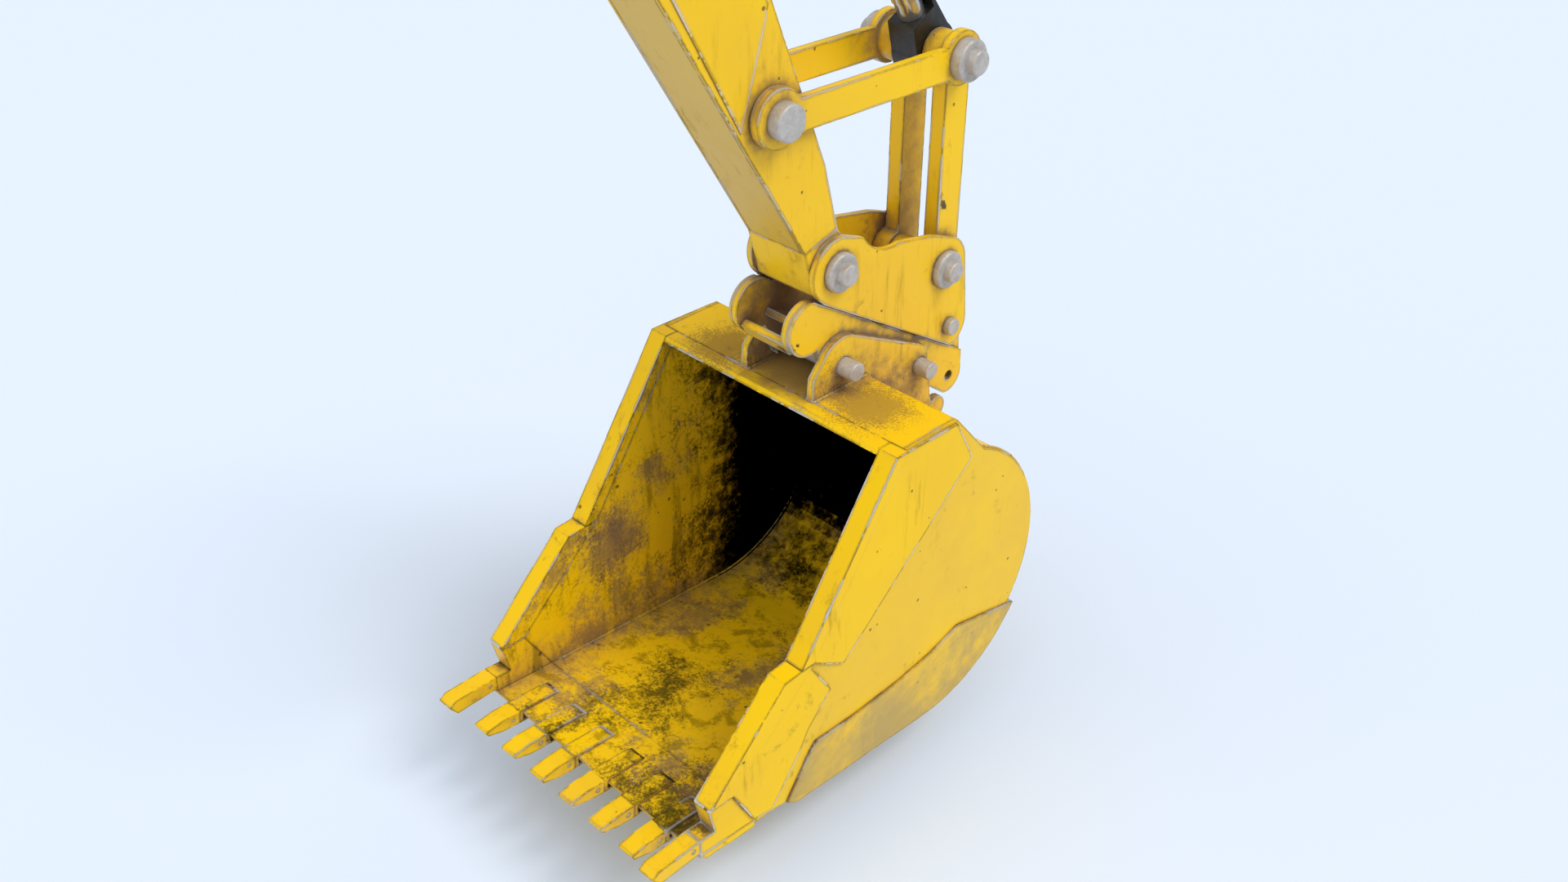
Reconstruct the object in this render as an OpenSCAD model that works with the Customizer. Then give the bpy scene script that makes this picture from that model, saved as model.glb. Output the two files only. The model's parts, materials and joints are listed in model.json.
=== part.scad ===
// Excavator bucket on its quick coupler, with the bucket linkage and the lower end of the stick.
// Profiles are drawn in the side view as [forward, up], in millimetres from the stick pin, where
// forward is the way the bucket's mouth faces. In the finished part forward is -Y, up is +Z and the
// width runs along X. The origin is the middle of the stick's cut end face.

/* [Bucket] */
// Overall width of the bucket across its side bars
bucket_w = 1000; // [960:10:1040]
// Radius of the bucket's curved back
wrap_r = 458; // [450:1:466]
// Thickness of the curved shell
shell_t = 14; // [10:1:16]
// Thickness of each side skin, inner and outer
side_t = 12; // [8:1:14]
// Width of the bars along the mouth's side edges
side_bar_w = 66; // [60:1:70]
// Thickness of the raised pads on the sides
pad_t = 8; // [5:1:10]
// Thickness of the wear strips and heel shrouds under the heel
heel_t = 22; // [14:1:26]

/* [Teeth] */
// Distance between the inner teeth
tooth_pitch = 134; // [126:1:138]
// Width of a tooth
tooth_w = 60; // [52:1:66]
// Width of an adapter's nose inside its tooth
nose_w = 40; // [34:1:44]
// Radius of a tooth's lock pin
lock_r = 6; // [4:0.5:7]

/* [Pins] */
// Radius of the main linkage pins
pin_r = 35; // [30:1:38]
// Radius of the front bucket pin
front_pin_r = 29; // [26:1:32]
// Radius of the rear bucket pin
rear_pin_r = 28; // [24:1:28]
// Radius of the latch pin
latch_pin_r = 24; // [20:1:26]
// Radial running clearance of a pin in a bore that turns on it
run_gap = 0.06; // [0.02:0.01:0.1]
// Radial clearance of a pin in a bore that it is locked to
fit_gap = 0.1; // [0.05:0.01:0.2]

/* [Stick] */
// Width of the stick across its side plates
stick_w = 220; // [210:2:220]
// Thickness of the stick's side plates
stick_t = 12; // [8:1:16]
// Height of the cut end above the stick pin
end_up = 980; // [960:10:1000]
// Distance of the cut end's middle forward of the stick pin
end_forward = 480; // [460:10:500]

/* [Linkage] */
// Thickness of an idler link
idler_t = 28; // [24:1:30]
// Width of each arm of the bucket link
arm_w = 50; // [40:2:52]
// Radius of the hydraulic cylinder's rod
rod_r = 42; // [38:1:45]

/* [Coupler] */
// Thickness of a coupler cheek
cheek_t = 20; // [16:1:20]
// Thickness of a hook plate
hook_t = 22; // [18:1:24]
// Thickness of a bucket ear
ear_t = 25; // [20:1:25]

/* [Hidden] */
$fn = 64;
half_w = bucket_w / 2;
bar_in = half_w - side_bar_w;
plate_out = half_w - pad_t;
shell_half = plate_out - side_t;
stick_half = stick_w / 2;
cheek_in = stick_half + 1;
cheek_out = cheek_in + cheek_t;
hook_out = stick_half;
ear_in = hook_out + 11;
ear_out = ear_in + ear_t;
idler_in = stick_half + 8;
idler_out = idler_in + idler_t;
link_half = 50;

// pin centres
stick_pin_at = [0, 0];
link_low_at = [-464, -159];
link_top_at = [-469, 486];
idler_at = [238, 507];
latch_at = [-499, -365];
front_pin_at = [-13, -301];
rear_pin_at = [-352, -442];
safety_hole_at = [-531, -563];

// bucket profile
top_v = -370;
mouth_top = [152, top_v];
mouth_step = [514, -899];
bar_depth = 48;
top_back = [-110, top_v];
wrap_at = [-62, -950];
wrap_from = 114;
wrap_to = 274;
floor_slope = wrap_to - 270;
cut_from = 721;
cut_to = 930;
lip_t = 28;

// latch
lever_r = 80;
lever_angle = 102.5;
lever_end = latch_at + lever_r * [cos(lever_angle), sin(lever_angle)];
lever_pin_r = 9;
barrel_r = 28;
barrel_front = -130;
barrel_back = -330;
latch_rod_r = 14;

// cylinder rod
rod_angle = 62;
rod_start = 120;
rod_length = 330;

// stick profile: the front edge and the back edge, from the nose up to the cut end
front_low = [112, 81];
front_high = [650, end_up];
back_low = [-15, 115];
back_mid = [38, 320];
back_high = [307, end_up];
wall = stick_t * 1.17;

paint = "gold";
steel = "silver";

function arc(c, r, from, to, steps = 12) =
    [for (i = [0:steps]) let (a = from + (to - from) * i / steps) c + r * [cos(a), sin(a)]];
function turned(p, a) = [p[0] * cos(a) - p[1] * sin(a), p[0] * sin(a) + p[1] * cos(a)];
function reversed(list) = [for (i = [len(list) - 1:-1:0]) list[i]];
function along(p, q, v) = [p[0] + (q[0] - p[0]) * (v - p[1]) / (q[1] - p[1]), v];
// a bar with a round eye at each end; left and right are its half widths either side of p to q
function eye_bar(p, q, rp, rq, left, right) =
    let (length = norm(q - p), a = atan2(q[1] - p[1], q[0] - p[0]))
    [for (s = concat(arc([0, 0], rp, asin(left / rp), 360 - asin(right / rp), 24),
                     arc([length, 0], rq, 180 + asin(right / rq), 540 - asin(left / rq), 24)))
        p + turned(s, a)];
// a point on the bucket's floor: s along it from the end of the curve, h above its underside
heel_end = wrap_at + wrap_r * [cos(wrap_to), sin(wrap_to)];
function on_floor(s, h) = heel_end + turned([s, h], floor_slope);
function wrap(r, from = wrap_from, to = wrap_to) =
    arc(wrap_at, r, from, to, round((to - from) / 5));

// extrudes a side-view profile across the width from x0 to x1
module slab(x0, x1) {
    translate([x1, end_forward, -end_up]) rotate([90, 0, -90]) linear_extrude(x1 - x0) children();
}
module both_sides() {
    children();
    mirror([1, 0, 0]) children();
}
// a round bar across the width
module cross_bar(at, r, x0, x1) {
    translate([x0, end_forward - at[0], at[1] - end_up]) rotate([0, 90, 0]) cylinder(r = r, h = x1 - x0);
}
module cross_hole(at, r) {
    cross_bar(at, r, -half_w - 50, half_w + 50);
}
// a pin head with a chamfered rim, standing out from x0 to x1
module pin_head(at, r, x0, x1, rim = 4) {
    cross_bar(at, r, x0, x1 - rim);
    translate([x1 - rim, end_forward - at[0], at[1] - end_up]) rotate([0, 90, 0])
        rotate_extrude() polygon([[0, 0], [r, 0], [r - rim, rim], [0, rim]]);
}

// ---- stick ----
module stick_side_shape() {
    slab(stick_half - stick_t, stick_half)
        polygon([front_low, front_high, back_high, back_mid, back_low]);
}
module stick_side() {
    difference() {
        stick_side_shape();
        cross_hole(idler_at, 58 + fit_gap);
    }
}
module stick_side_right() {
    color(paint) stick_side();
}
module stick_side_left() {
    color(paint) mirror([1, 0, 0]) stick_side();
}
module stick_front_plate() {
    color(paint) slab(-stick_half + stick_t, stick_half - stick_t)
        polygon([front_low, front_high, front_high - [wall, 0], front_low - [wall, -9]]);
}
module stick_back_plate() {
    color(paint) slab(-stick_half + stick_t, stick_half - stick_t)
        polygon([back_low + [1, 0], back_mid, back_high, back_high + [wall, 0],
                 back_mid + [wall, 0], back_low + [wall, -1]]);
}
module stick_end_plate() {
    plate = 12;
    low = end_up - plate;
    color(paint) slab(-stick_half + stick_t, stick_half - stick_t)
        polygon([along(front_low, front_high, end_up) - [wall + 1, 0],
                 along(front_low, front_high, low) - [wall + 1, 0],
                 along(back_mid, back_high, low) + [wall + 1, 0],
                 along(back_mid, back_high, end_up) + [wall + 1, 0]]);
}
module stick_nose_boss() {
    color(paint) difference() {
        slab(-stick_half, stick_half)
            polygon(concat([front_low, [75, -58]], arc(stick_pin_at, 95, -38, -250, 40), [back_low]));
        cross_hole(stick_pin_at, pin_r + 10);
    }
}
module stick_bushes() {
    color("darkgoldenrod") both_sides() difference() {
        cross_bar(stick_pin_at, pin_r + 10 - fit_gap, 50, stick_half);
        cross_hole(stick_pin_at, pin_r + run_gap);
    }
}
module stick_idler_boss() {
    color(paint) difference() {
        cross_bar(idler_at, 58, -idler_in + 2, idler_in - 2);
        cross_hole(idler_at, pin_r + run_gap);
    }
}
// raised reinforcing plates along the front of the stick's sides
module stick_doublers() {
    color(paint) both_sides() slab(stick_half, stick_half + 4)
        polygon([[342, 488], front_high - [38, 0], back_high + [14, 0], [246, 790], [256, 745]]);
}

// ---- idler links ----
module idler() {
    difference() {
        slab(idler_in, idler_out) polygon(eye_bar(idler_at, link_top_at, 80, 78, 53, 38));
        cross_hole(idler_at, pin_r + fit_gap);
        cross_hole(link_top_at, pin_r + fit_gap);
    }
}
module idler_right() {
    color(paint) idler();
}
module idler_left() {
    color(paint) mirror([1, 0, 0]) idler();
}
module idler_pin() {
    color(steel) {
        cross_bar(idler_at, pin_r, -idler_out, idler_out);
        both_sides() pin_head(idler_at, 50, idler_out, idler_out + 42);
    }
}
module link_pin() {
    color(steel) cross_bar(link_top_at, pin_r, -idler_out, idler_out);
}
// a retaining washer with a bolt head on it
module pin_cap(at, washer_r, bolt_r, x, washer_t, bolt_t) {
    pin_head(at, washer_r, x, x + washer_t, 5);
    pin_head(at, bolt_r, x + washer_t, x + washer_t + bolt_t, 4);
}
module link_pin_caps() {
    color(steel) both_sides() pin_cap(link_top_at, 60, 36, idler_out, 38, 26);
}

// ---- bucket link ----
module link_arm() {
    difference() {
        union() {
            slab(link_half, link_half + arm_w) {
                polygon([link_top_at + [8, 0], link_low_at + [8, 0], link_low_at + [-36, -46],
                         link_low_at + [-90, 10], link_top_at + [-90, -50], link_top_at + [-40, 46]]);
            }
            cross_bar(link_top_at, 64, link_half, idler_in - 1);
            cross_bar(link_low_at, 58, link_half, cheek_in - 3);
        }
        cross_hole(link_top_at, pin_r + run_gap);
        cross_hole(link_low_at, pin_r + run_gap);
    }
}
module link_right() {
    color(paint) link_arm();
}
module link_left() {
    color(paint) mirror([1, 0, 0]) link_arm();
}
module link_tube() {
    color(paint) difference() {
        cross_bar(link_low_at, 52, -link_half, link_half);
        cross_hole(link_low_at, pin_r + run_gap);
    }
}

// ---- bucket cylinder's rod ----
module rod_end() {
    eye = 80;
    neck = 50;
    tongue = 165;
    color("black") difference() {
        slab(-link_half + 2, link_half - 2)
            polygon([for (p = concat([[rod_start, neck - 8], [tongue, neck - 8], [tongue, neck]],
                                     arc([0, 0], eye, 62, 298, 30), [[rod_start, -neck]]))
                link_top_at + turned(p, rod_angle)]);
        cross_hole(link_top_at, pin_r + run_gap);
    }
}
// a necked foot, welded to the rod end, and the full rod above it
module piston_rod() {
    from = link_top_at + rod_start * [cos(rod_angle), sin(rod_angle)];
    neck = 60;
    color("lightgray") translate([0, end_forward - from[0], from[1] - end_up]) rotate([90 - rod_angle, 0, 0]) {
        cylinder(r = rod_r - 4, h = neck);
        translate([0, 0, neck]) cylinder(r = rod_r, h = rod_length - neck);
    }
}

// ---- quick coupler ----
latch_lobe_r = 84;
cheek_front = [59, -83];
cheek_tail = latch_at + latch_lobe_r * [cos(256), sin(256)];
// directions along the cheek's slanted lower edge and square to it, away from the cheek
cheek_run = (cheek_front - cheek_tail) / norm(cheek_front - cheek_tail);
cheek_below = [cheek_run[1], -cheek_run[0]];
module coupler_cheek() {
    outline = concat(arc(stick_pin_at, 99, -52, 112, 24),
                     arc([-228, 146], 150, -32, -100, 12),
                     [[-400, -32], [-440, -46]],
                     arc(link_low_at, 98, 98, 178, 12),
                     arc(latch_at, latch_lobe_r, 176, 256, 12),
                     [cheek_front]);
    difference() {
        slab(cheek_in, cheek_out) polygon(outline);
        cross_hole(stick_pin_at, pin_r + fit_gap);
        cross_hole(link_low_at, pin_r + fit_gap);
        cross_hole(latch_at, latch_pin_r + fit_gap);
    }
}
module coupler_cheek_right() {
    color(paint) coupler_cheek();
}
module coupler_cheek_left() {
    color(paint) mirror([1, 0, 0]) coupler_cheek();
}
lobe_at = [100, -150];
lobe_r = 82;
// the hook plate: a front lobe, open jaws over the two bucket pins and a tail with the safety hole
hook_outline = concat(
    arc(stick_pin_at, 101, -112, -62, 8),
    arc(lobe_at, lobe_r, 126, -112, 24),
    [[52, -270], [front_pin_at[0] + front_pin_r + 1, -345]],
    arc(front_pin_at, front_pin_r + 1, 0, 180, 16),
    [[front_pin_at[0] - front_pin_r - 1, -345], [-100, -352],
     [rear_pin_at[0] + rear_pin_r + 40, -470], [rear_pin_at[0] + rear_pin_r + 1, -470]],
    arc(rear_pin_at, rear_pin_r + 1, 0, 180, 16),
    [[rear_pin_at[0] - rear_pin_r - 1, -520]],
    arc(safety_hole_at, 60, -70, -185, 14),
    arc(latch_at, latch_lobe_r, 180, 100, 8),
    [[-400, -268], [-80, -112]]);
module hook_plate() {
    difference() {
        slab(hook_out - hook_t, hook_out) polygon(hook_outline);
        cross_hole(latch_at, latch_pin_r + fit_gap);
        cross_hole(safety_hole_at, 16);
    }
}
module hook_plate_right() {
    color(paint) hook_plate();
}
module hook_plate_left() {
    color(paint) mirror([1, 0, 0]) hook_plate();
}
// wear plates on the outside of the hook plates, below the cheeks' slanted edge
module hook_doublers() {
    edge_gap = 1.5 * cheek_below;
    below = 700 * cheek_below;
    reach = 400 * cheek_run;
    color(paint) both_sides() difference() {
        slab(hook_out, hook_out + 10) intersection() {
            polygon(hook_outline);
            polygon([cheek_front + edge_gap + reach, cheek_tail + edge_gap - reach,
                     cheek_tail + below - reach, cheek_front + below + reach]);
        }
        cross_hole(safety_hole_at, 16);
    }
}
module coupler_front_bar() {
    span = hook_out - hook_t;
    color(paint) slab(-span, span) polygon([[170, -186], [144, -226], [122, -214], [150, -172]]);
}
module coupler_bridge() {
    span = hook_out - hook_t;
    color(paint) slab(-span, span) polygon([[60, -172], [70, -194], [-118, -300], [-130, -278]]);
}
module stick_pin() {
    color(steel) cross_bar(stick_pin_at, pin_r, -cheek_out, cheek_out);
}
// the pin through the bucket link's lower end, as a stub in each cheek
module link_pin_stubs() {
    color(steel) both_sides() cross_bar(link_low_at, pin_r, cheek_in, cheek_out);
}
module pin_caps() {
    color(steel) both_sides() {
        pin_cap(stick_pin_at, 58, 33, cheek_out, 23, 25);
        pin_cap(link_low_at, 58, 33, cheek_out, 23, 25);
    }
}
module latch_pin() {
    color(steel) {
        cross_bar(latch_at, latch_pin_r, -cheek_out, cheek_out);
        both_sides() pin_head(latch_at, 27, cheek_out, cheek_out + 26);
    }
}
module latch_barrel() {
    color("dimgray") difference() {
        translate([0, end_forward - barrel_front, lever_end[1] - end_up])
            rotate([-90, 0, 0]) cylinder(r = barrel_r, h = barrel_front - barrel_back);
        translate([0, end_forward - barrel_front + 20, lever_end[1] - end_up])
            rotate([-90, 0, 0]) cylinder(r = latch_rod_r + run_gap, h = 400);
    }
}

// ---- latch ----
module latch_hook() {
    tip = rear_pin_at;
    color(paint) difference() {
        union() {
            slab(-30, 30) difference() {
                union() {
                    translate(latch_at) circle(r = 48);
                    polygon([latch_at + [-42, 20], latch_at + [-42, -45], tip + [-112, -70],
                             tip + [-50, -100], tip + [15, -88], tip + [46, -38], tip + [30, -20],
                             tip, tip + [-48, 22], latch_at + [40, 25]]);
                }
                translate(tip) circle(r = rear_pin_r + 0.6);
            }
            slab(-12, 12) polygon(eye_bar(latch_at, lever_end, 40, 20, 17, 17));
        }
        cross_hole(latch_at, latch_pin_r + run_gap);
    }
    color(steel) cross_bar(lever_end, lever_pin_r, -26, 26);
}
module latch_rod() {
    fork = 20;
    color("lightgray") {
        translate([0, end_forward + 260, lever_end[1] - end_up]) rotate([-90, 0, 0])
            cylinder(r = latch_rod_r, h = -lever_end[0] - fork - 10 - 260);
        difference() {
            slab(-26, 26) translate(lever_end - [fork, fork]) square([2 * fork + 14, 2 * fork]);
            slab(-14, 14) translate(lever_end - [fork + 10, fork + 10])
                square([2 * fork + 14, 2 * fork + 20]);
            slab(-40, 40) translate(lever_end - [lever_pin_r + 0.6, lever_pin_r + 3])
                square([2 * lever_pin_r + 1.2, 2 * lever_pin_r + 6]);
        }
    }
}

// ---- bucket ----
bar_line = [mouth_top - [bar_depth, 0], mouth_step - [bar_depth, 0]];
module bucket_shell() {
    inner = wrap_r - shell_t;
    color(paint) slab(-shell_half, shell_half)
        polygon(concat([bar_line[0], top_back], wrap(wrap_r),
                       [on_floor(cut_from, 0), on_floor(cut_from, shell_t)], reversed(wrap(inner)),
                       [top_back + [4, -shell_t], along(bar_line[0], bar_line[1], top_v - shell_t)]));
}
side_front = [bar_line[0], bar_line[1], [778, -1183], on_floor(cut_from, shell_t)];
module side_plate() {
    slab(shell_half, plate_out)
        polygon(concat(side_front, [on_floor(cut_from, 0)], reversed(wrap(wrap_r)), [top_back]));
}
module side_plate_right() {
    color(paint) side_plate();
}
module side_plate_left() {
    color(paint) mirror([1, 0, 0]) side_plate();
}
// the inner skins of the double-walled sides
module side_liners() {
    skin = shell_t + 0.5;
    color(paint) both_sides() slab(bar_in, bar_in + side_t)
        polygon(concat([along(bar_line[0], bar_line[1], top_v - skin), side_front[1], side_front[2],
                        on_floor(cut_from, skin), on_floor(0, skin)],
                       reversed(wrap(wrap_r - skin)), [top_back + [6, -skin]]));
}
module top_beam() {
    low = top_v - shell_t - 2;
    color(paint) slab(-bar_in, bar_in)
        polygon([mouth_top, along(mouth_top, mouth_step, low),
                 along(mouth_top, mouth_step, low) - [bar_depth, 0], bar_line[0]]);
}
// a bar along the upper part of a side's front edge, with the raised pad behind it
module side_bar() {
    slab(bar_in, half_w) polygon([mouth_top, mouth_step, bar_line[1], bar_line[0]]);
    slab(plate_out, half_w)
        polygon([bar_line[0] + [1, 0], bar_line[1] + [1, 0], bar_line[1] - [2, 0], [433, -922], [345, -976],
                 [-180, -523], [-102, -376]]);
}
module side_bar_right() {
    color(paint) side_bar();
}
module side_bar_left() {
    color(paint) mirror([1, 0, 0]) side_bar();
}
// the cutters along the lower part, each with the raised pad behind it
module side_cutters() {
    color(paint) both_sides() {
        slab(bar_in, half_w)
            polygon([along(bar_line[1], side_front[2], mouth_step[1] - 0.5), mouth_step - [0, 0.5],
                     mouth_step + [64, -4], [864, -1183], side_front[2]]);
        slab(plate_out, half_w)
            polygon([[474, -912], bar_line[1] + [0.5, -0.6], side_front[2] + [1, 1], side_front[2] + [-2, -2],
                     [702, -1330], [632, -1345], [517, -1192], [485, -1132], [394, -1037]]);
    }
}
module cutting_edge() {
    color(paint) slab(-plate_out, plate_out)
        polygon([on_floor(cut_from, shell_t), on_floor(cut_to, shell_t), on_floor(cut_to, 4),
                 on_floor(cut_to - 24, shell_t - lip_t), on_floor(cut_from, shell_t - lip_t)]);
}
// a floor point straight below a given forward distance, on the cutting edge's top face
lip_u = (on_floor(cut_to, shell_t))[0];
nose_u = [lip_u, lip_u + 42];
nose_v = [-1308, -1280];
corner_lock_at = [nose_u[0] + 24, -1294];
module corner_nose(gap) {
    slab(bar_in + 14 - gap, plate_out - 14 + gap)
        translate([nose_u[0] - gap, nose_v[0] - gap])
            square([nose_u[1] - nose_u[0] + 2 * gap, nose_v[1] - nose_v[0] + 2 * gap]);
}
module corner_adapters() {
    color(paint) both_sides() difference() {
        union() {
            slab(bar_in, plate_out)
                polygon([side_front[2], [864, -1183], [842, -1277], [lip_u, -1272],
                         on_floor(cut_to, shell_t), on_floor(cut_from, shell_t)]);
            corner_nose(0);
        }
        cross_hole(corner_lock_at, lock_r + fit_gap);
    }
}
module corner_tooth() {
    difference() {
        slab(bar_in, plate_out)
            polygon([[lip_u + 1, -1272], [1046, -1274], [1068, -1290], [1044, -1322], [lip_u + 1, -1318]]);
        corner_nose(0.5);
        cross_hole(corner_lock_at, lock_r + fit_gap);
    }
}
module corner_tooth_right() {
    color(paint) corner_tooth();
}
module corner_tooth_left() {
    color(paint) mirror([1, 0, 0]) corner_tooth();
}
// L-shaped shrouds around the two heel corners
module heel_shrouds() {
    out_r = wrap_r + heel_t;
    from = 214;
    side_edge = [[474, -1226], [451, -1203], [296, -1210], [98, -1204], [-51, -1184], [-176, -1149]];
    color(paint) both_sides() {
        slab(plate_out, half_w)
            polygon(concat(side_edge, wrap(out_r, from, wrap_to), [on_floor(560, -heel_t), on_floor(600, 0)]));
        slab(380, plate_out)
            polygon(concat(wrap(out_r, from, wrap_to), [on_floor(560, -heel_t), on_floor(600, 0)],
                           reversed(wrap(wrap_r, from, wrap_to))));
    }
}
module wear_strips() {
    out_r = wrap_r + heel_t;
    color(paint) for (x = [-210, 0, 210])
        slab(x - 35, x + 35)
            polygon(concat(wrap(out_r, 204, wrap_to), [on_floor(560, -heel_t), on_floor(600, 0)],
                           reversed(wrap(wrap_r, 204, wrap_to))));
}
module ear() {
    difference() {
        slab(ear_in, ear_out)
            polygon(concat([[114, top_v], [108, -300]], arc(front_pin_at, 95, 28, 112, 14),
                           [[-370, -376], [-384, -396], [-394, -440], [-414, -580]],
                           arc([-448, -634], 39, 50, 200, 10),
                           reversed(wrap(wrap_r, wrap_from, 149)), [top_back]));
        cross_hole(front_pin_at, front_pin_r + fit_gap);
        cross_hole(rear_pin_at, rear_pin_r + fit_gap);
    }
}
module ear_right() {
    color(paint) ear();
}
module ear_left() {
    color(paint) mirror([1, 0, 0]) ear();
}
module front_bucket_pin() {
    color(steel) {
        cross_bar(front_pin_at, front_pin_r, -ear_out - 30, ear_out + 30);
        both_sides() pin_head(front_pin_at, front_pin_r, ear_out + 30, ear_out + 56, 3);
    }
}
module rear_bucket_pin() {
    color(steel) {
        cross_bar(rear_pin_at, rear_pin_r, -ear_out - 30, ear_out + 30);
        both_sides() pin_head(rear_pin_at, rear_pin_r, ear_out + 30, ear_out + 52, 3);
    }
}

// ---- teeth ----
module tooth_at(i) {
    translate([(i - 3.5) * tooth_pitch, 0, 0]) children();
}
// along the floor: an adapter's tail on the lip, its face, its nose's end and the lock pin through both
tail_s = 790;
face_s = 944;
nose_s = 988;
lock_s = 966;
adapter_half = 22;
nose_half = 13;
module tooth_lock_holes() {
    translate([0, end_forward - (on_floor(lock_s, 0))[0], (on_floor(lock_s, 0))[1] - end_up])
        rotate([0, 90, 0]) cylinder(r = lock_r + fit_gap, h = 200, center = true);
}
module adapter_body() {
    half_t = lip_t / 2 + 0.2;
    slab(-tooth_w / 2, tooth_w / 2)
        polygon([for (p = [[tail_s, half_t], [tail_s + 24, adapter_half], [face_s, adapter_half],
                           [face_s, -adapter_half], [tail_s + 24, -adapter_half], [tail_s, -half_t],
                           [cut_to + 0.5, -half_t], [cut_to + 0.5, half_t]])
            on_floor(p[0], p[1])]);
}
module adapter_nose(gap) {
    slab(-nose_w / 2 - gap, nose_w / 2 + gap)
        polygon([for (p = [[face_s - 1, nose_half + gap], [nose_s + gap, nose_half + gap],
                           [nose_s + gap, -nose_half - gap], [face_s - 1, -nose_half - gap]])
            on_floor(p[0], p[1])]);
}
module tooth_adapters() {
    color(paint) for (i = [1:6]) tooth_at(i) difference() {
        union() {
            adapter_body();
            adapter_nose(0);
        }
        tooth_lock_holes();
    }
}
module tooth(i) {
    color(paint) tooth_at(i) difference() {
        slab(-tooth_w / 2, tooth_w / 2)
            polygon([for (p = [[face_s + 0.5, adapter_half], [1004, adapter_half - 2], [1062, 9], [1066, 2],
                               [1060, -8], [1004, 2 - adapter_half], [face_s + 0.5, -adapter_half]])
                on_floor(p[0], p[1])]);
        adapter_nose(0.5);
        tooth_lock_holes();
    }
}
module tooth_1() {
    tooth(1);
}
module tooth_2() {
    tooth(2);
}
module tooth_3() {
    tooth(3);
}
module tooth_4() {
    tooth(4);
}
module tooth_5() {
    tooth(5);
}
module tooth_6() {
    tooth(6);
}
module tooth_lock_pins() {
    color(steel) {
        for (i = [1:6]) tooth_at(i)
            cross_bar(on_floor(lock_s, 0), lock_r, -tooth_w / 2, tooth_w / 2);
        both_sides() cross_bar(corner_lock_at, lock_r, bar_in, plate_out);
    }
}

stick_side_left();
stick_side_right();
stick_front_plate();
stick_back_plate();
stick_end_plate();
stick_nose_boss();
stick_bushes();
stick_idler_boss();
stick_doublers();
idler_left();
idler_right();
idler_pin();
link_pin();
link_pin_caps();
link_left();
link_right();
link_tube();
rod_end();
piston_rod();
coupler_cheek_left();
coupler_cheek_right();
hook_plate_left();
hook_plate_right();
hook_doublers();
coupler_front_bar();
coupler_bridge();
stick_pin();
link_pin_stubs();
pin_caps();
latch_pin();
latch_barrel();
latch_hook();
latch_rod();
bucket_shell();
side_plate_left();
side_plate_right();
side_liners();
top_beam();
side_bar_left();
side_bar_right();
side_cutters();
cutting_edge();
corner_adapters();
corner_tooth_left();
corner_tooth_right();
heel_shrouds();
wear_strips();
ear_left();
ear_right();
front_bucket_pin();
rear_bucket_pin();
tooth_adapters();
tooth_1();
tooth_2();
tooth_3();
tooth_4();
tooth_5();
tooth_6();
tooth_lock_pins();
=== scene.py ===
"""Looks for the excavator bucket: worn yellow paint, pins, weld beads, floor, light and camera."""
import json
import math

import bmesh
import bpy
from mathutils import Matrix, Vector


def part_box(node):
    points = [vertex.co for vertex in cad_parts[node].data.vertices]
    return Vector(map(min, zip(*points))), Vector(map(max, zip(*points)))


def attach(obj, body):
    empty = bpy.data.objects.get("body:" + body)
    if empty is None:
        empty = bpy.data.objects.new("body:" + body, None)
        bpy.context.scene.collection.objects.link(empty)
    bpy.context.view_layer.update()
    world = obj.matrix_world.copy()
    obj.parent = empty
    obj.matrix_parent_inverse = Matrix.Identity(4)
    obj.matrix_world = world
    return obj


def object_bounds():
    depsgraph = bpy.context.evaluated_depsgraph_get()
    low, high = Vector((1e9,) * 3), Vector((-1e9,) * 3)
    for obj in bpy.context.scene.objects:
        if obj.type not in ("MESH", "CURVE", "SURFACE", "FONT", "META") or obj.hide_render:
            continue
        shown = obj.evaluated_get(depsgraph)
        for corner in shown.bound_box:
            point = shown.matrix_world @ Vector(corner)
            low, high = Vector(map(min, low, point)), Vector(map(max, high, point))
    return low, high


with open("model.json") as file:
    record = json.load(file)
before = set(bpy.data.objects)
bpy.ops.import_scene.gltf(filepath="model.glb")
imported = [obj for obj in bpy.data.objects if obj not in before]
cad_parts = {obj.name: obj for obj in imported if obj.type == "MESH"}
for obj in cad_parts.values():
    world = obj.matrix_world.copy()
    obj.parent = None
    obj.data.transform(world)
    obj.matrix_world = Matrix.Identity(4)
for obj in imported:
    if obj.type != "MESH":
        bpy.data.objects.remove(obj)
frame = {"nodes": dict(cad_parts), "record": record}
cad_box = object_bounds()
nodes = frame["nodes"]

# Side-view places are [forward, up] in millimetres from the stick pin, as the design states them:
# forward is -Y and up is +Z. The pin's own place comes from its node.
MM = 0.001
pin_low, pin_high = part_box("stick_pin")
PIN = (pin_low + pin_high) / 2

# the curved back of the bucket: its centre, its outer radius, and the angles where it starts and ends
WRAP_AT = (-62.0, -950.0)
WRAP_R = 458.0
WRAP_FROM, WRAP_TO = 114.0, 274.0
# the flat top's height, the floor's slope in degrees, and the shell's thickness
TOP_V = -370.0
FLOOR_SLOPE = WRAP_TO - 270.0
SHELL_T = 14.0


def place(x, u, v):
    """A point of the part from its x in millimetres and its side-view place."""
    return Vector((x * MM, PIN.y - u * MM, PIN.z + v * MM))


def on_arc(centre, radius, angle):
    a = math.radians(angle)
    return (centre[0] + radius * math.cos(a), centre[1] + radius * math.sin(a))


def on_floor(s, h):
    """A point on the bucket's floor: s along it from the heel, h above its underside."""
    a = math.radians(FLOOR_SLOPE)
    u, v = on_arc(WRAP_AT, WRAP_R, WRAP_TO)
    return (u + s * math.cos(a) - h * math.sin(a), v + s * math.sin(a) + h * math.cos(a))


# ---------------------------------------------------------------- camera, floor and light

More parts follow.
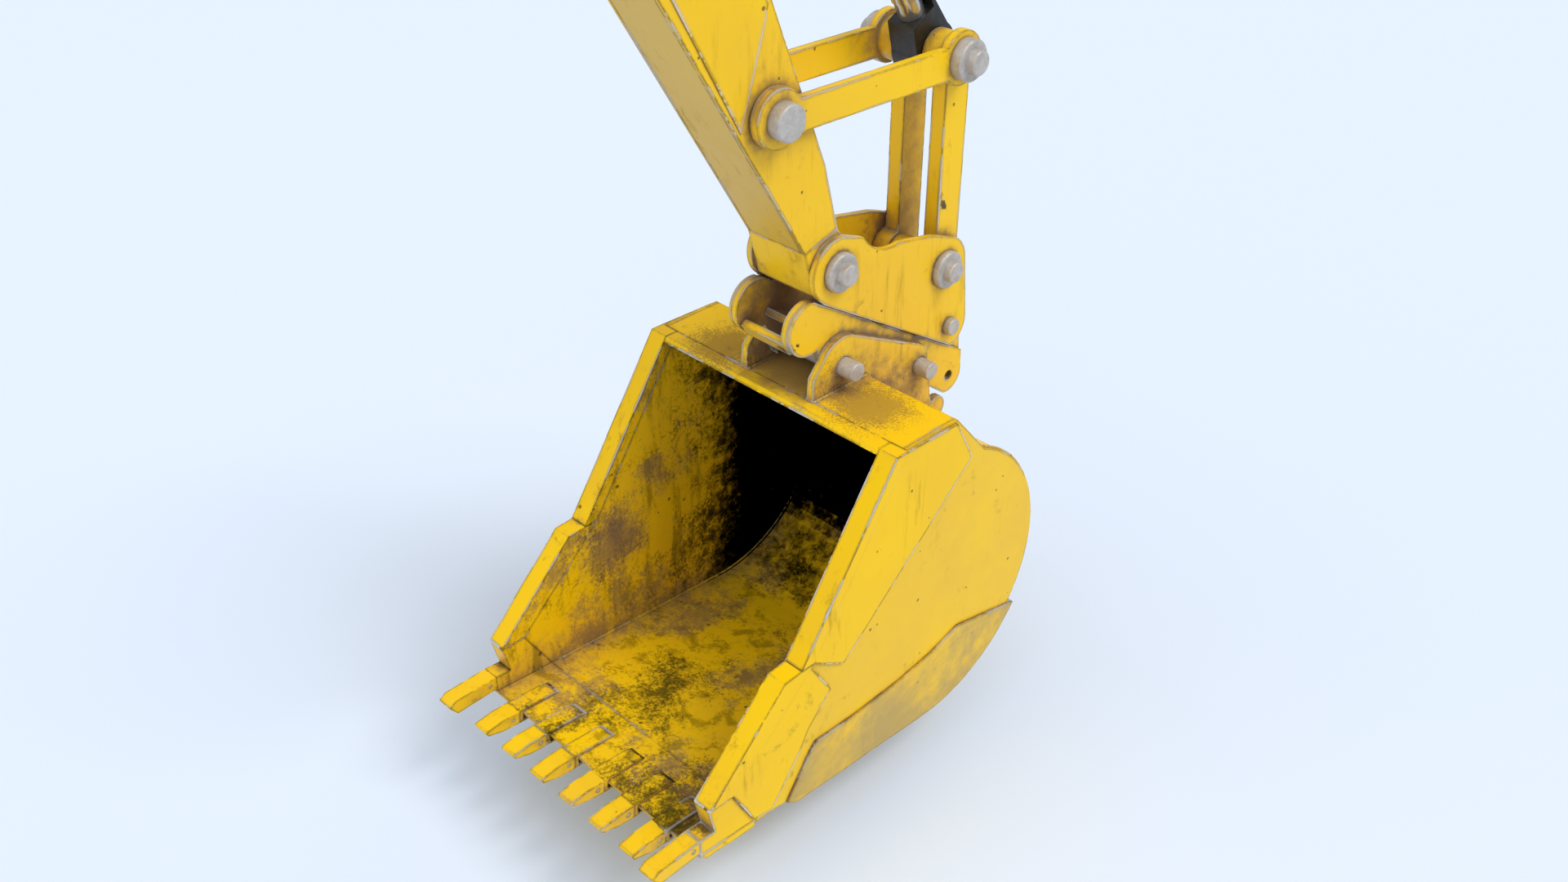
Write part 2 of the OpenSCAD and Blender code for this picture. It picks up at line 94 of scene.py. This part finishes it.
VIEW_AZIMUTH, VIEW_ELEVATION, VIEW_DISTANCE = 44.9, 33.5, 4.523
VIEW_AT = Vector((0, 0.399, -1.561))
LENS_MM, SENSOR_MM = 35.0, 36.0
LAMP_DISTANCE = 6
FLOOR_DROP = 0.22
FLOOR_HALF = 40.0
FLOOR_COLOUR = (0.76, 0.833, 0.955, 1)
SKY_COLOUR = (0.86, 0.92, 1.0, 1)
SKY_STRENGTH = 0.55


def look_from(azimuth, elevation, distance):
    """A point at a distance from the camera's target; azimuth 0 is in front, and 90 is on the +X side."""
    a, e = math.radians(azimuth), math.radians(elevation)
    away = Vector((math.sin(a) * math.cos(e), -math.cos(a) * math.cos(e), math.sin(e)))
    return VIEW_AT + away * distance


def aim(name, data, azimuth, elevation, distance):
    """A camera or lamp that looks at the camera's target."""
    thing = bpy.data.objects.new(name, data)
    thing.location = look_from(azimuth, elevation, distance)
    thing.rotation_euler = (VIEW_AT - thing.location).to_track_quat("-Z", "Y").to_euler()
    bpy.context.scene.collection.objects.link(thing)
    return thing


def add_camera():
    data = bpy.data.cameras.new("camera")
    data.lens = LENS_MM
    data.sensor_width = SENSOR_MM
    bpy.context.scene.camera = aim("camera", data, VIEW_AZIMUTH, VIEW_ELEVATION, VIEW_DISTANCE)


def add_sun(name, azimuth, elevation, spread, strength, colour):
    data = bpy.data.lights.new(name, "SUN")
    data.angle = math.radians(spread)
    data.energy = strength
    data.color = colour
    aim(name, data, azimuth, elevation, LAMP_DISTANCE)


def add_floor():
    z = cad_box[0][2] - FLOOR_DROP
    mesh = bpy.data.meshes.new("studio_floor")
    h = FLOOR_HALF
    mesh.from_pydata([(-h, -h, z), (h, -h, z), (h, h, z), (-h, h, z)], [], [(0, 1, 2, 3)])
    floor = bpy.data.objects.new("studio_floor", mesh)
    bpy.context.scene.collection.objects.link(floor)
    material = bpy.data.materials.new("floor_pale")
    material.use_nodes = True
    shader = material.node_tree.nodes["Principled BSDF"]
    shader.inputs["Base Color"].default_value = FLOOR_COLOUR
    shader.inputs["Roughness"].default_value = 0.9
    shader.inputs["Specular IOR Level"].default_value = 0.1
    mesh.materials.append(material)


def add_world():
    world = bpy.data.worlds.new("studio")
    bpy.context.scene.world = world
    world.use_nodes = True
    background = world.node_tree.nodes["Background"]
    background.inputs["Color"].default_value = SKY_COLOUR
    background.inputs["Strength"].default_value = SKY_STRENGTH
    bpy.context.scene.view_settings.view_transform = "Standard"


# ---------------------------------------------------------------- material helper

X, Y, Z = range(3)


class Graph:
    """Short names for the shader nodes that the materials below use."""

    def __init__(self, name):
        self.material = bpy.data.materials.new(name)
        self.material.use_nodes = True
        self.tree = self.material.node_tree
        self.shader = self.tree.nodes["Principled BSDF"]
        coordinates = self.tree.nodes.new("ShaderNodeTexCoord").outputs
        self.point = coordinates["Object"]
        self.normal = coordinates["Normal"]

    def put(self, value, socket):
        if isinstance(value, bpy.types.NodeSocket):
            self.tree.links.new(value, socket)
        else:
            socket.default_value = value

    def new(self, kind, inputs=(), **settings):
        node = self.tree.nodes.new(kind)
        for key, value in settings.items():
            setattr(node, key, value)
        for key, value in dict(inputs).items():
            self.put(value, node.inputs[key])
        return node

    def math(self, operation, a, b, clamp=False):
        node = self.new("ShaderNodeMath", {0: a, 1: b}, operation=operation, use_clamp=clamp)
        return node.outputs[0]

    def both(self, a, b):
        """Where two masks meet; a number as b weakens the mask."""
        return self.math("MULTIPLY", a, b, clamp=True)

    def times(self, a, b):
        return self.math("MULTIPLY", a, b)

    def add(self, a, b):
        return self.math("ADD", a, b)

    def minus(self, a, b):
        return self.math("SUBTRACT", a, b)

    def most(self, a, b):
        return self.math("MAXIMUM", a, b)

    def invert(self, a):
        return self.math("SUBTRACT", 1.0, a, clamp=True)

    def weighted(self, first, *others):
        """The first value plus each other value times its weight."""
        for value, weight in others:
            first = self.add(first, self.times(value, weight))
        return first

    def band(self, value, low, high):
        """0 below low, 1 above high, smooth between."""
        node = self.new("ShaderNodeMapRange", {"Value": value, "From Min": low, "From Max": high},
                        interpolation_type="SMOOTHSTEP")
        return node.outputs["Result"]

    def ramp(self, value, low, high):
        """0 below low, 1 above high, straight between."""
        node = self.new("ShaderNodeMapRange", {"Value": value, "From Min": low, "From Max": high})
        return node.outputs["Result"]

    def scaled(self, x, y, z):
        node = self.new("ShaderNodeMapping", {"Vector": self.point, "Scale": (x, y, z)})
        return node.outputs["Vector"]

    def noise(self, scale, detail=4.0, rough=0.55, vector=None, twist=0.0):
        vector = self.point if vector is None else vector
        node = self.new("ShaderNodeTexNoise", {"Vector": vector, "Scale": scale, "Detail": detail,
                                               "Roughness": rough, "Distortion": twist})
        return node.outputs["Fac"]

    def mix(self, a, b, amount):
        # the colour sockets of a Mix node share their names with its other kinds, so they go by number
        node = self.new("ShaderNodeMix", {0: amount, 6: a, 7: b}, data_type="RGBA")
        return node.outputs[2]

    def axis(self, vector, index):
        return self.new("ShaderNodeSeparateXYZ", {0: vector}).outputs[index]

    def dot(self, a, b):
        node = self.new("ShaderNodeVectorMath", {0: a, 1: b}, operation="DOT_PRODUCT")
        return node.outputs["Value"]

    def near(self, spot, reach):
        """1 at a spot on the part, falling to 0 at reach from it."""
        node = self.new("ShaderNodeVectorMath", {0: self.point, 1: tuple(spot)}, operation="DISTANCE")
        return self.invert(self.math("DIVIDE", node.outputs["Value"], reach))

    def edge(self, radius):
        """How sharply the surface turns within radius: about 0 on a flat face, up to 1 on an edge."""
        bevel = self.new("ShaderNodeBevel", {"Radius": radius}, samples=6)
        geometry = self.new("ShaderNodeNewGeometry")
        return self.invert(self.dot(bevel.outputs["Normal"], geometry.outputs["Normal"]))

    def corner(self, distance):
        """About 1 in a tight corner and 0 in the open."""
        node = self.new("ShaderNodeAmbientOcclusion", {"Distance": distance}, samples=6)
        return self.invert(node.outputs["AO"])

    def bump(self, height, distance):
        node = self.new("ShaderNodeBump", {"Height": height, "Distance": distance, "Strength": 0.5})
        self.put(node.outputs["Normal"], self.shader.inputs["Normal"])

    def finish(self, colour, rough, metal=0.0):
        self.put(colour, self.shader.inputs["Base Color"])
        self.put(rough, self.shader.inputs["Roughness"])
        self.put(metal, self.shader.inputs["Metallic"])
        return self.material


# ---------------------------------------------------------------- yellow paint

YELLOW = (0.96, 0.590, 0.004, 1)
YELLOW_FADED = (0.90, 0.535, 0.016, 1)
OCHRE = (0.26, 0.155, 0.014, 1)
# tan for films of fine dirt, and for the painted shade on faces that look down
TAN_FILM_AND_SHADE = (0.46, 0.32, 0.10, 1)
DUST = (0.215, 0.13, 0.085, 1)
SOIL = (0.17, 0.085, 0.045, 1)
OLIVE = (0.062, 0.046, 0.003, 1)
# black for the painted shade at the back of the cavity
SHADE_BLACK = (0.0, 0.0, 0.0, 1)
BARE = (0.62, 0.65, 0.69, 1)
OUTLINE = (0.012, 0.012, 0.012, 1)

# how far from an edge, in metres, the paint can wear
WEAR_REACH = 0.017
# the level where chips start, how much full wear lowers it, and how much higher bare metal starts
CHIP_START, CHIP_PER_WEAR, CHIP_RIM = 2.61, 0.32, 0.36
# where soil lies on the top beside each ear, and how far it spreads in metres
SOIL_SPOTS = [place(270, 10, TOP_V), place(-260, 60, TOP_V)]
SOIL_REACH = 0.26
# a patch of dust on the left wall behind the mouth
SPLASH_SPOT = place(-480, 410, -1010)
SPLASH_REACH = 0.34
# the middle of the cavity, and forward places in millimetres where the painted shade at the back starts and
# is full, and where the painted shadow on the floor's +X side starts and is full
CAVITY = place(0, 150, -960)
SHADE_BLACK_FROM, SHADE_BLACK_TO = 230.0, -190.0
SHADE_FROM, SHADE_TO = 480.0, 120.0


def worn_edges(g, colour, wear, in_painted_shade):
    """Paint worn to metal along the edges, except where the painted shade makes them black. Returns the
    colour, chip and metal masks.
    """
    turn = g.math("POWER", g.math("MULTIPLY", g.edge(WEAR_REACH), 4.0, clamp=True), 0.5)
    patch = g.noise(5.5, detail=4, rough=0.6, twist=0.4)
    ragged = g.noise(45, detail=5, rough=0.7)
    chip = g.weighted(turn, (patch, 2.6), (ragged, 0.8))
    start = CHIP_START - CHIP_PER_WEAR * wear
    clear = g.invert(in_painted_shade)
    rim = g.both(g.band(chip, start, start + 0.06), clear)
    metal = g.both(g.band(chip, start + CHIP_RIM, start + CHIP_RIM + 0.06), clear)
    colour = g.mix(colour, OUTLINE, g.both(rim, 0.9))
    colour = g.mix(colour, BARE, metal)
    return colour, rim, metal


def inside_masks(g):
    """Two masks: 1 on the faces that look into the bucket, and 0 near the mouth to 1 at the back."""
    inward = g.new("ShaderNodeVectorMath", {0: tuple(CAVITY), 1: g.point}, operation="SUBTRACT")
    facing = g.dot(inward.outputs["Vector"], g.normal)
    back = g.ramp(g.axis(g.point, Y), place(0, SHADE_BLACK_FROM, 0).y, place(0, SHADE_BLACK_TO, 0).y)
    return g.band(facing, 0.0, 0.02), back


def caked_and_shaded_inside(g, colour):
    """Grime and painted shade on the faces that look into the bucket: olive mottling and brown dust, and
    painted black shade at the back of the cavity and along the floor's +X side. Returns the colour, a mask
    of the grime and the painted shade together, and the painted-shade mask.
    """
    inside, back = inside_masks(g)
    across = g.axis(g.point, X)
    up = g.band(g.axis(g.normal, Z), 0.5, 0.8)
    broad = g.noise(3.6, detail=5, rough=0.6, twist=0.5)
    mottle = g.noise(22, detail=9, rough=0.78, twist=0.2)
    fleck = g.noise(95, detail=6, rough=0.8)
    smear = g.noise(1.0, detail=6, rough=0.65, vector=g.scaled(12, 12, 2.6), twist=0.4)
    blotch = g.noise(2.7, detail=5, rough=0.65)

    # olive mottling of grime, thicker towards the back of the walls; its thickening towards +X is painted
    # shade for the shaded side of the cavity
    wall_back = g.times(back, g.invert(up))
    cover_and_shade = g.weighted(g.times(broad, 0.66), (wall_back, 0.26), (across, 0.09), (mottle, 0.62),
                       (fleck, 0.56))
    cover_and_shade = g.both(g.band(cover_and_shade, 0.92, 1.10), inside)
    colour = g.mix(colour, OLIVE, g.both(cover_and_shade, 0.88))
    wipe = g.both(g.band(g.weighted(smear, (fleck, 0.25)), 0.62, 0.76), inside)
    colour = g.mix(colour, OLIVE, g.both(wipe, 0.5))

    # brown dust in patches, and one larger patch
    brown = g.both(g.band(g.weighted(blotch, (fleck, 0.3)), 0.66, 0.76), inside)
    colour = g.mix(colour, DUST, g.both(brown, 0.6))
    splash = g.weighted(g.times(g.near(SPLASH_SPOT, SPLASH_REACH), 0.7), (mottle, 0.6), (fleck, 0.4))
    colour = g.mix(colour, DUST, g.both(g.both(g.band(splash, 0.84, 1.04), inside), 0.7))

    # painted shade: black at the back of the cavity, where light doesn't reach; on the floor it starts
    # later, except along the +X side, which gets the painted shadow of the right side bar
    depth = g.axis(g.point, Y)
    deep = g.band(depth, place(0, SHADE_FROM, 0).y, place(0, SHADE_TO, 0).y)
    shade = g.both(g.band(across, 0.05, 0.46), deep)
    later = g.minus(0.42, g.times(shade, 0.95))
    painted_shade = g.minus(back, g.times(up, later))
    painted_shade = g.weighted(painted_shade, (g.minus(mottle, 0.5), 0.9), (g.minus(broad, 0.5), 0.5))
    painted_shade = g.both(g.band(painted_shade, 0.42, 0.82), inside)
    colour = g.mix(colour, SHADE_BLACK, painted_shade)
    return colour, g.most(cover_and_shade, painted_shade), painted_shade


def yellow_paint(name, wear, dust, streaks, haze=0.0, caked_and_shaded=False):
    """Painted steel: faded in patches, streaked, dusty in corners with painted shade there and under
    overhangs, tinted with painted shade on faces that look down, and worn to bare metal on its edges.
    """
    g = Graph(name)
    broad = g.noise(2.2, detail=3, rough=0.5)
    patch = g.noise(3.4, detail=4, rough=0.6, twist=0.4)
    fine = g.noise(24, detail=6, rough=0.65)
    grain = g.noise(160, detail=3, rough=0.7)
    colour = g.mix(YELLOW, YELLOW_FADED, g.band(broad, 0.35, 0.7))

    # dirt that has run down the faces, in patches, and smudges
    run = g.noise(1.0, detail=6, rough=0.68, vector=g.scaled(30, 30, 3.0), twist=0.35)
    streak = g.both(g.band(run, 0.50, 0.74), g.band(patch, 0.50, 0.66))
    colour = g.mix(colour, OCHRE, g.both(streak, 0.9 * streaks))
    smudge = g.weighted(g.noise(6.5, detail=8, rough=0.72, twist=0.8), (fine, 0.4))
    colour = g.mix(colour, OCHRE, g.both(g.band(smudge, 0.80, 0.94), 0.8 * streaks))

    # scattered specks
    dots = g.new("ShaderNodeTexVoronoi", {"Vector": g.point, "Scale": 26.0})
    dot_size = g.times(g.band(g.noise(14, detail=2), 0.50, 0.8), 0.26)
    speck = g.math("LESS_THAN", dots.outputs["Distance"], dot_size)
    colour = g.mix(colour, OUTLINE, g.both(speck, 0.7))

    # a film of fine dirt, and painted shade on faces that look down: they are tinted the darker tan of a
    # shaded underside
    down = g.band(g.times(g.axis(g.normal, Z), -1.0), 0.25, 0.6)
    film = g.times(g.band(g.weighted(patch, (fine, 0.3)), 0.35, 0.75), haze)
    colour = g.mix(colour, TAN_FILM_AND_SHADE, g.add(g.both(down, 0.62), film))

    # dust lying in corners, with painted shade: the occlusion mask darkens the corners and the undersides
    # of overhangs, where shade falls
    corner_dust_and_shade = g.weighted(g.corner(0.20), (fine, 0.75), (patch, 0.6))
    corner_dust_and_shade = g.both(g.band(corner_dust_and_shade, 0.92, 1.16), dust)
    colour = g.mix(colour, DUST, corner_dust_and_shade)

    # soil thrown up round the ears
    heap = g.most(*(g.near(spot, SOIL_REACH) for spot in SOIL_SPOTS))
    heap = g.weighted(g.times(heap, 0.62), (g.noise(20, detail=9, rough=0.85), 0.7), (grain, 0.55))
    soil = g.both(g.band(heap, 0.88, 1.08), dust)
    colour = g.mix(colour, SOIL, g.both(soil, 0.8))

    dirt_and_shade = g.most(g.most(corner_dust_and_shade, streak), soil)
    shine = 0.2
    painted_shade = 0.0
    # inside the bucket: grime, and painted shade that blackens the back of the cavity; the shade's mask
    # also dims the specular there and joins the grime's mask
    if caked_and_shaded:
        colour, cover_and_shade, painted_shade = caked_and_shaded_inside(g, colour)
        dirt_and_shade = g.most(dirt_and_shade, cover_and_shade)
        shine = g.both(g.invert(painted_shade), 0.12)
    colour, rim, metal = worn_edges(g, colour, wear, painted_shade)
    height = g.weighted(g.times(grain, 0.25), (dirt_and_shade, 0.4), (rim, -0.7))
    g.bump(height, 0.0012)
    g.put(shine, g.shader.inputs["Specular IOR Level"])
    rough = g.add(0.24, g.weighted(g.times(fine, 0.22), (dirt_and_shade, 0.38)))
    return g.finish(colour, rough, g.both(metal, 0.5))


# ---------------------------------------------------------------- other materials

PIN_LIGHT = (0.55, 0.51, 0.47, 1)
PIN_DARK = (0.40, 0.36, 0.32, 1)
PIN_EDGE = (0.68, 0.66, 0.64, 1)
GREASE = (0.10, 0.075, 0.05, 1)
BLACK_PAINT = (0.006, 0.006, 0.006, 1)
BLACK_DUSTY = (0.03, 0.028, 0.025, 1)
BLACK_CHIP = (0.20, 0.20, 0.20, 1)
CHROME_BRIGHT = (0.74, 0.73, 0.70, 1)
CHROME_DULL = (0.55, 0.52, 0.47, 1)
BRONZE_LIGHT = (0.45, 0.26, 0.08, 1)
BRONZE_DARK = (0.20, 0.12, 0.05, 1)
SMALL_EDGE = 0.003
FINE_BUMP = 0.0008


def pin_steel():
    g = Graph("pin_steel_dull")
    fine = g.noise(40, detail=6, rough=0.7)
    spot = g.noise(7, detail=4, rough=0.6)
    colour = g.mix(PIN_LIGHT, PIN_DARK, g.band(fine, 0.3, 0.75))
    colour = g.mix(colour, DUST, g.both(g.band(spot, 0.55, 0.75), 0.45))
    rubbed = g.band(g.weighted(g.edge(SMALL_EDGE), (fine, 0.3)), 0.25, 0.5)
    colour = g.mix(colour, PIN_EDGE, g.both(rubbed, 0.7))
    colour = g.mix(colour, GREASE, g.band(g.corner(0.03), 0.35, 0.8))
    g.bump(fine, FINE_BUMP)
    return g.finish(colour, g.add(0.36, g.times(fine, 0.3)), 0.25)


def black_paint():
    g = Graph("black_paint_worn")
    fine = g.noise(60, detail=7, rough=0.7)
    chip = g.weighted(g.noise(25, detail=7, rough=0.7), (g.edge(SMALL_EDGE), 2.0))
    colour = g.mix(BLACK_PAINT, BLACK_DUSTY, g.band(fine, 0.45, 0.75))
    colour = g.mix(colour, BLACK_CHIP, g.band(chip, 1.15, 1.3))
    g.bump(fine, FINE_BUMP)
    return g.finish(colour, g.add(0.3, g.times(fine, 0.25)))


def chrome():
    g = Graph("rod_chrome")
    fine = g.noise(1.0, detail=4, rough=0.6, vector=g.scaled(60, 60, 8))
    colour = g.mix(CHROME_BRIGHT, CHROME_DULL, g.band(fine, 0.45, 0.7))
    return g.finish(colour, g.add(0.12, g.times(fine, 0.2)), 0.9)


def bronze():
    g = Graph("bush_bronze")
    fine = g.noise(50, detail=5, rough=0.6)
    colour = g.mix(BRONZE_LIGHT, BRONZE_DARK, g.band(fine, 0.4, 0.7))
    return g.finish(colour, g.add(0.35, g.times(fine, 0.2)), 0.85)


# ---------------------------------------------------------------- CAD nodes: materials and softened edges

MESH_WELD = 0.00002
SHARP = math.radians(35)
COPLANAR = math.radians(0.4)
# widths of the rounded edges, in metres: plates and machined pieces, the thick bars, the worn teeth
PLATE_EDGE, BAR_EDGE, TOOTH_EDGE = 0.0015, 0.005, 0.003

ARM_NODES = ["stick_side_left", "stick_side_right", "stick_front_plate", "stick_back_plate",
             "stick_end_plate", "stick_nose_boss", "stick_idler_boss", "stick_doublers",
             "idler_left", "idler_right", "link_left", "link_right", "link_tube"]
CAVITY_NODES = ["bucket_shell", "side_liners", "cutting_edge", "top_beam", "tooth_adapters",
                "corner_adapters"]
BAR_NODES = ["side_bar_left", "side_bar_right", "side_cutters"]
SIDE_NODES = ["side_plate_left", "side_plate_right"]
HEEL_NODES = ["heel_shrouds", "wear_strips"]
TEETH = ["corner_tooth_left", "corner_tooth_right"] + [f"tooth_{i}" for i in range(1, 7)]


def soften(node, width):
    """Rounds a node's hard edges with modifiers, without touching its mesh."""
    weld = node.modifiers.new("join", "WELD")
    weld.merge_threshold = MESH_WELD
    flat = node.modifiers.new("flat", "DECIMATE")
    flat.decimate_type = "DISSOLVE"
    flat.angle_limit = COPLANAR
    bevel = node.modifiers.new("edge", "BEVEL")
    bevel.width = width
    bevel.segments = 2
    bevel.limit_method = "ANGLE"
    bevel.angle_limit = SHARP
    bevel.use_clamp_overlap = True


def dress_nodes():
    """Gives every CAD node its material and soft edges. Returns the paints that the weld beads share."""
    side = yellow_paint("yellow_outside", wear=0.5, dust=0.6, streaks=0.6, haze=0.12)
    heel = yellow_paint("yellow_heel", wear=0.8, dust=0.9, streaks=1.0, haze=0.9)
    arm = yellow_paint("yellow_arm", wear=1.05, dust=0.7, streaks=0.6)
    coupler = yellow_paint("yellow_coupler", wear=1.05, dust=0.95, streaks=0.6)
    cavity = yellow_paint("yellow_cavity", wear=0.95, dust=0.75, streaks=0.8, caked_and_shaded=True)
    teeth = yellow_paint("yellow_teeth", wear=0.62, dust=0.6, streaks=0.5)
    by_slot = {"pin_steel": pin_steel(), "black_paint": black_paint(), "chrome": chrome(),
               "bronze": bronze(), "yellow_paint": coupler}
    rows = frame["record"]["subparts"]
    looks = {row["node"]: (by_slot[row["material_slot"]], PLATE_EDGE) for row in rows}
    for names, material, width in ((ARM_NODES, arm, PLATE_EDGE), (CAVITY_NODES, cavity, PLATE_EDGE),
                                   (BAR_NODES, cavity, BAR_EDGE), (SIDE_NODES, side, PLATE_EDGE),
                                   (HEEL_NODES, heel, PLATE_EDGE), (TEETH, teeth, TOOTH_EDGE)):
        looks.update((name, (material, width)) for name in names)
    for name, (material, width) in looks.items():
        nodes[name].data.materials.clear()
        nodes[name].data.materials.append(material)
        soften(nodes[name], width)
    return side, coupler, cavity


# ---------------------------------------------------------------- weld beads

BEAD_SIDES = 8
RIPPLE_STEP = 0.006
# shares of a bead's radius: its tapered ends, the ripple from step to step, and a slower wobble
END_SIZE, RIPPLE, WOBBLE = 0.35, 0.16, 0.08
WOBBLE_TURN = 1.7
# bead radii in metres, and how far in millimetres a bead's middle stands off the plate that it runs along
EAR_BEAD, SEAM_BEAD, CORNER_BEAD = 0.007, 0.005, 0.007
STAND_OFF = 1
# forward places of the ends of an ear's foot on the flat top, and the angle where its tail ends
EAR_FRONT, EAR_BACK = 114, -110
EAR_TAIL = 146.0
# the angle where the seam along a side's outer edge ends, and the length of a corner's weld along the floor
SEAM_END = 212.0
FLOOR_WELD = 700


def resample(points, step):
    """Points at even steps along a polyline."""
    out = [points[0].copy()]
    for a, b in zip(points, points[1:]):
        count = max(1, round((b - a).length / step))
        out += [a.lerp(b, k / count) for k in range(1, count + 1)]
    return out


def bead_rings(mesh, line, radius):
    """A ring of vertices round each point of a line, which swells and shrinks as a weld bead does."""
    rings = []
    last = len(line) - 1
    for i, point in enumerate(line):
        along = (line[min(i + 1, last)] - line[max(i - 1, 0)]).normalized()
        side = along.orthogonal().normalized()
        other = along.cross(side)
        end = END_SIZE if i in (0, last) else 1.0
        r = radius * end * (1.0 + RIPPLE * (1 if i % 2 else -1) + WOBBLE * math.sin(i * WOBBLE_TURN))
        turns = [2 * math.pi * k / BEAD_SIDES for k in range(BEAD_SIDES)]
        spokes = [side * math.cos(t) + other * math.sin(t) for t in turns]
        rings.append([mesh.verts.new(point + spoke * r) for spoke in spokes])
    return rings


def weld_bead(name, paths, radius, material):
    """One object on the bucket, holding a rippled weld bead along each path."""
    mesh = bmesh.new()
    for points in paths:
        rings = bead_rings(mesh, resample(points, RIPPLE_STEP), radius)
        for a, b in zip(rings, rings[1:]):
            for k in range(BEAD_SIDES):
                n = (k + 1) % BEAD_SIDES
                mesh.faces.new((a[k], a[n], b[n], b[k]))
        mesh.faces.new(rings[0][::-1])
        mesh.faces.new(rings[-1])
    bmesh.ops.recalc_face_normals(mesh, faces=mesh.faces)
    data = bpy.data.meshes.new(name)
    mesh.to_mesh(data)
    mesh.free()
    data.polygons.foreach_set("use_smooth", [True] * len(data.polygons))
    data.materials.append(material)
    bead = bpy.data.objects.new(name, data)
    bpy.context.scene.collection.objects.link(bead)
    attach(bead, "bucket")


def wrap_path(x, from_angle, to_angle, radius=WRAP_R, steps=40):
    """Points round the bucket's curved back, between two angles."""
    span = to_angle - from_angle
    return [place(x, *on_arc(WRAP_AT, radius, from_angle + span * k / steps)) for k in range(steps + 1)]


def add_welds(side, coupler, cavity):
    ear_low, ear_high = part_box("ear_right")
    ear_in, ear_out = ear_low.x / MM - STAND_OFF, ear_high.x / MM + STAND_OFF
    side_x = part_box("side_plate_right")[0].x / MM
    wall_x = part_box("side_bar_right")[0].x / MM - STAND_OFF
    ears, seams, corners = [], [], []
    for sign in (-1, 1):
        for x in (sign * ear_in, sign * ear_out):
            ears.append([place(x, EAR_FRONT, TOP_V), place(x, EAR_BACK, TOP_V)]
                        + wrap_path(x, WRAP_FROM, EAR_TAIL, steps=12))
        seams.append(wrap_path(sign * side_x, WRAP_FROM, SEAM_END, WRAP_R + STAND_OFF))
        corners.append([place(sign * wall_x, *on_floor(s, SHELL_T)) for s in (FLOOR_WELD, 0)]
                       + wrap_path(sign * wall_x, WRAP_TO, WRAP_FROM, WRAP_R - SHELL_T))
    weld_bead("ear_welds", ears, EAR_BEAD, coupler)
    weld_bead("side_seam_welds", seams, SEAM_BEAD, side)
    weld_bead("inside_corner_welds", corners, CORNER_BEAD, cavity)


def main():
    add_camera()
    add_world()
    add_floor()
    add_sun("key", azimuth=112, elevation=52, spread=28, strength=1.5, colour=(1.0, 0.98, 0.95))
    add_sun("fill", azimuth=5, elevation=48, spread=90, strength=0.9, colour=(1.0, 1.0, 1.0))
    add_welds(*dress_nodes())


main()
